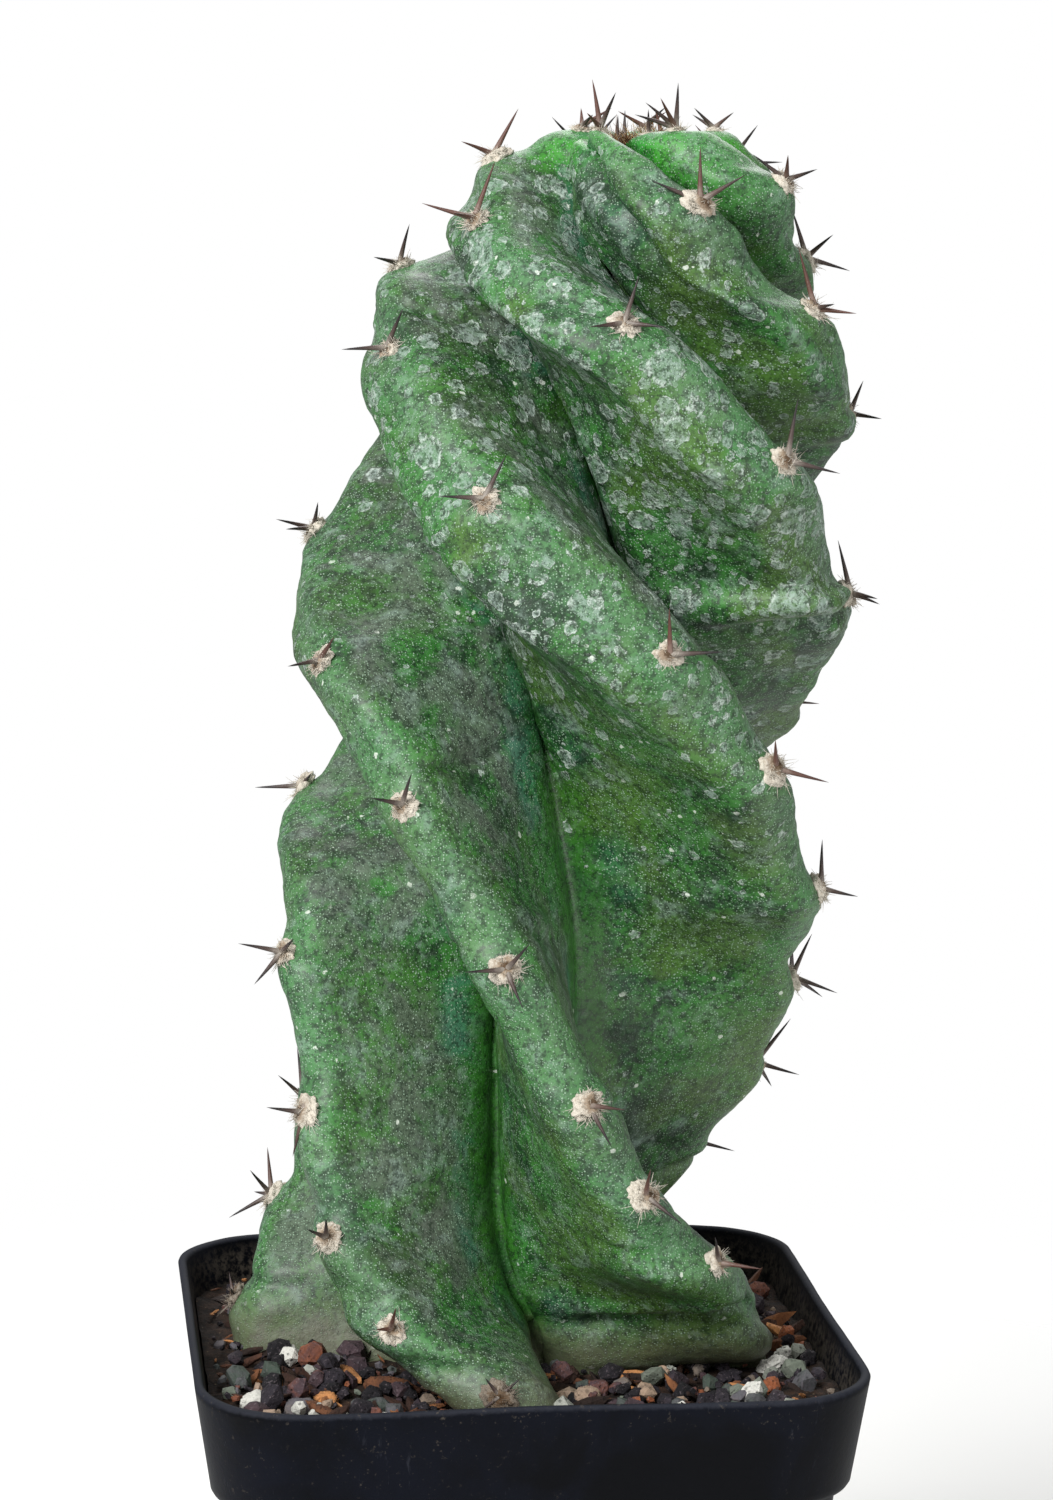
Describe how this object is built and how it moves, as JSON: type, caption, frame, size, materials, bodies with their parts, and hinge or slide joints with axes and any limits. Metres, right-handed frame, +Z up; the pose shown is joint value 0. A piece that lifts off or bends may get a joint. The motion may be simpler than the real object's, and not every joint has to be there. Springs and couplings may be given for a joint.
{
  "type": "potted spiral columnar cactus",
  "caption": "Columnar cactus with deep ribs that wind round the stem in a spiral, with spine clusters along their crests, standing in a square plastic nursery pot of gritty soil.",
  "frame": {"origin": "centre of the pot's flat underside, on the surface it stands on", "axes": "+Z up along the pot's axis; -Y towards the front wall of the square pot, +X to the right"},
  "size_m": [0.1036, 0.1009, 0.2788],
  "materials": {
    "pot_plastic": "black moulded plastic with a dull sheen and a scuffed rim",
    "cactus_skin": "waxy deep green skin with fine pale dots, grey bloom, woolly tan areoles and dark spines",
    "potting_soil": "dark crumbly soil with grit",
    "pumice_stone": "pale rough porous stone",
    "gravel_stone": "grey and tan stone",
    "lava_stone": "dark pitted stone",
    "bark_chip": "red-brown fibrous bark"
  },
  "bodies": {
    "root": {"pot": "pot_plastic", "cactus_stem": "cactus_skin", "pumice_1": "pumice_stone", "gravel_1": "gravel_stone", "pumice_2": "pumice_stone", "bark_1": "bark_chip", "lava_1": "lava_stone", "lava_2": "lava_stone", "bark_2": "bark_chip", "bark_3": "bark_chip", "gravel_2": "gravel_stone", "lava_3": "lava_stone", "bark_4": "bark_chip", "gravel_3": "gravel_stone", "pumice_3": "pumice_stone", "gravel_4": "gravel_stone", "lava_4": "lava_stone", "gravel_5": "gravel_stone", "gravel_6": "gravel_stone", "pumice_4": "pumice_stone", "pumice_5": "pumice_stone", "gravel_7": "gravel_stone", "lava_5": "lava_stone", "lava_6": "lava_stone", "pumice_6": "pumice_stone", "gravel_8": "gravel_stone", "lava_7": "lava_stone", "gravel_9": "gravel_stone", "pumice_7": "pumice_stone", "bark_5": "bark_chip", "lava_8": "lava_stone", "bark_6": "bark_chip", "gravel_10": "gravel_stone", "pumice_8": "pumice_stone", "soil": "potting_soil"}
  },
  "joints": []
}
